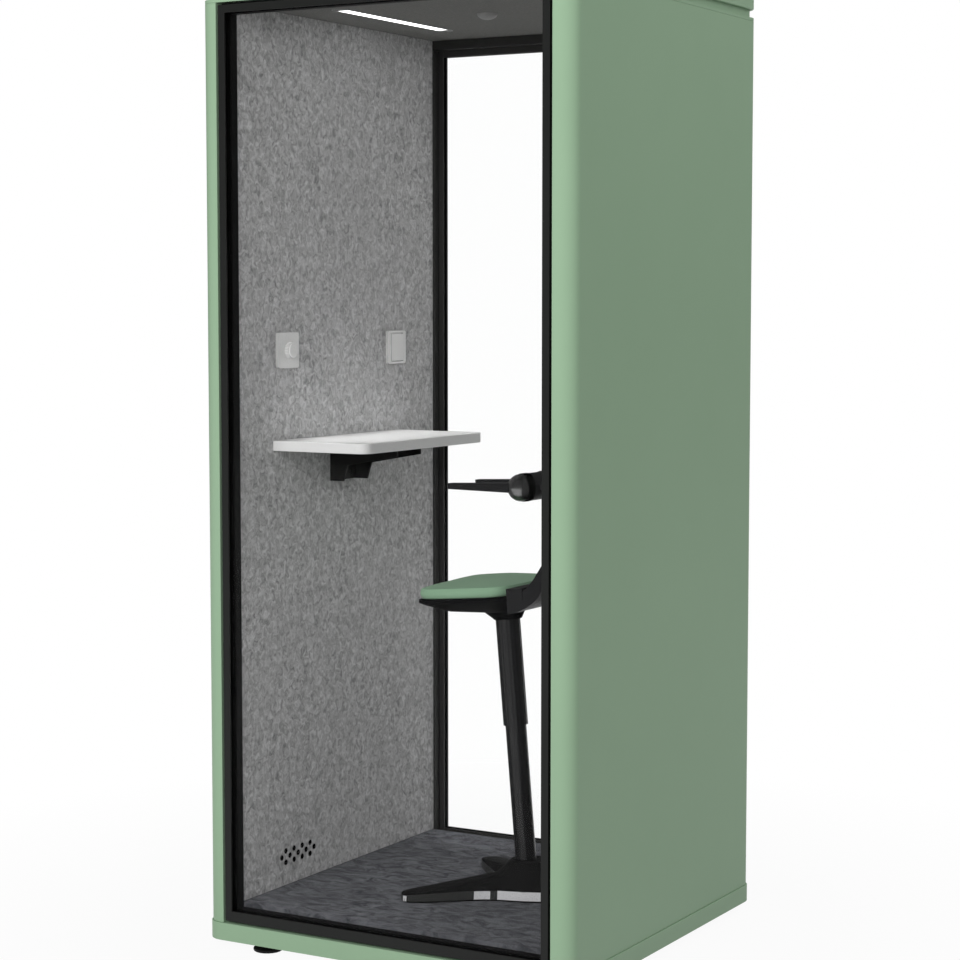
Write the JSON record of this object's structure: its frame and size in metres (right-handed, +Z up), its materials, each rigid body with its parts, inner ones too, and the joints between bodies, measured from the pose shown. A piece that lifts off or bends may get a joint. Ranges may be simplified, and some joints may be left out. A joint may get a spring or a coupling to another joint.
{
  "type": "acoustic office pod",
  "caption": "Single-person acoustic pod: rounded green shell, fixed glazed front, glazed hinged door behind, felt-lined cabin with standing desk and tilting perch stool.",
  "frame": {"origin": "on the floor under the middle of the bounding box", "axes": "+Z up; X across the glazed faces with the desk on the -X wall; -Y is the fixed window, +Y the door"},
  "size_m": [0.986, 1.0322, 2.3],
  "materials": {
    "shell_paint": "satin sage green powder coat",
    "frame_black": "satin black powder coat",
    "black_rubber": "matte",
    "clear_glass": "clear, laminated",
    "grey_felt": "heathered felt",
    "wool_core": "sound absorbing fleece",
    "carpet": "short loop pile",
    "floor_board": "plywood",
    "ceiling_felt": "pressed felt board",
    "white_laminate": "satin laminate",
    "grey_plastic": "satin",
    "aluminium": "satin anodised",
    "diffuser": "opal, lit",
    "black_plastic": "fine grained",
    "seat_fabric": "smooth upholstery"
  },
  "bodies": {
    "pod": {"plinth_frame": "shell_paint", "left_wall_skin": "shell_paint", "right_wall_skin": "shell_paint", "roof_collar": "shell_paint", "roof_cap": "shell_paint", "levelling_foot_front_left": "black_rubber", "levelling_foot_front_right": "black_rubber", "levelling_foot_rear_left": "black_rubber", "levelling_foot_rear_right": "black_rubber", "window_gasket": "black_rubber", "window_joint": "black_rubber", "door_seal": "black_rubber", "floor_panel": "floor_board", "carpet": "carpet", "left_wall_core": "wool_core", "right_wall_core": "wool_core", "left_felt_panel": "grey_felt", "right_felt_panel": "grey_felt", "ceiling_panel": "ceiling_felt", "light_channel": "aluminium", "power_supply": "aluminium", "light_diffuser": "diffuser", "presence_sensor": "grey_plastic", "control_plate": "grey_plastic", "switch_plate": "grey_plastic", "desk_top": "white_laminate", "fan_housing": "black_plastic", "stool_base": "black_plastic", "stool_column": "black_plastic", "window_frame": "frame_black", "window_lining": "frame_black", "door_lining": "frame_black", "desk_bracket": "frame_black", "hinge_1_jamb": "frame_black", "hinge_2_jamb": "frame_black", "hinge_3_jamb": "frame_black", "window_glass": "clear_glass"},
    "door": {"door_stile_hinge": "frame_black", "door_stile_pull": "frame_black", "door_rail_bottom": "frame_black", "door_rail_top": "frame_black", "door_gasket": "black_rubber", "door_glass": "clear_glass", "hinge_1_leaf": "frame_black", "hinge_2_leaf": "frame_black", "hinge_3_leaf": "frame_black", "door_pull_outside": "frame_black", "door_pull_inside": "frame_black"},
    "fan_rotor": {"fan_rotor": "black_plastic"},
    "control_knob": {"control_knob": "white_laminate"},
    "switch_rocker": {"switch_rocker": "grey_plastic"},
    "stool_sleeve": {"stool_sleeve": "black_plastic"},
    "seat": {"seat_shell": "black_plastic", "seat_pad": "seat_fabric", "back_spine": "black_plastic"},
    "arm_near": {"arm_near": "black_plastic"},
    "arm_far": {"arm_far": "black_plastic"},
    "height_lever": {"height_lever": "black_plastic"}
  },
  "joints": [
    {"name": "door_hinge", "type": "hinge", "parent": "pod", "child": "door", "pos_m": [-0.4375, 0.47785, 1.14], "axis": [0, 0, 1], "range_deg": [0, 110]},
    {"name": "fan_spin", "type": "hinge", "parent": "pod", "child": "fan_rotor", "pos_m": [0.24, 0.17885, 2.245], "axis": [0, 0, 1], "continuous": true},
    {"name": "control_turn", "type": "hinge", "parent": "pod", "child": "control_knob", "pos_m": [-0.4113, -0.26715, 1.416], "axis": [1, 0, 0], "range_deg": [0, 270]},
    {"name": "switch_tilt", "type": "hinge", "parent": "pod", "child": "switch_rocker", "pos_m": [-0.417, 0.22485, 1.415], "axis": [0, 1, 0], "range_deg": [-4, 4]},
    {"name": "seat_lift", "type": "slide", "parent": "pod", "child": "stool_sleeve", "axis": [-0.0872, 0, 0.9962], "range_m": [-0.18, 0.03]},
    {"name": "seat_swivel", "type": "hinge", "parent": "stool_sleeve", "child": "seat", "pos_m": [0.07499, -0.05615, 0.80134], "axis": [-0.0872, 0, 0.9962], "continuous": true},
    {"name": "arm_near_flip", "type": "hinge", "parent": "seat", "child": "arm_near", "pos_m": [0.14424, -0.11015, 1.09449], "axis": [0.4677, 0.8829, 0.0409], "range_deg": [0, 90]},
    {"name": "arm_far_flip", "type": "hinge", "parent": "seat", "child": "arm_far", "pos_m": [0.14424, -0.00215, 1.09449], "axis": [-0.4677, 0.8829, -0.0409], "range_deg": [0, 90]},
    {"name": "lever_lift", "type": "hinge", "parent": "seat", "child": "height_lever", "pos_m": [0.08399, 0.04385, 0.81317], "axis": [0.9962, 0, 0.0872], "range_deg": [0, 6], "stiffness_Nm_per_rad": 0.4}
  ]
}
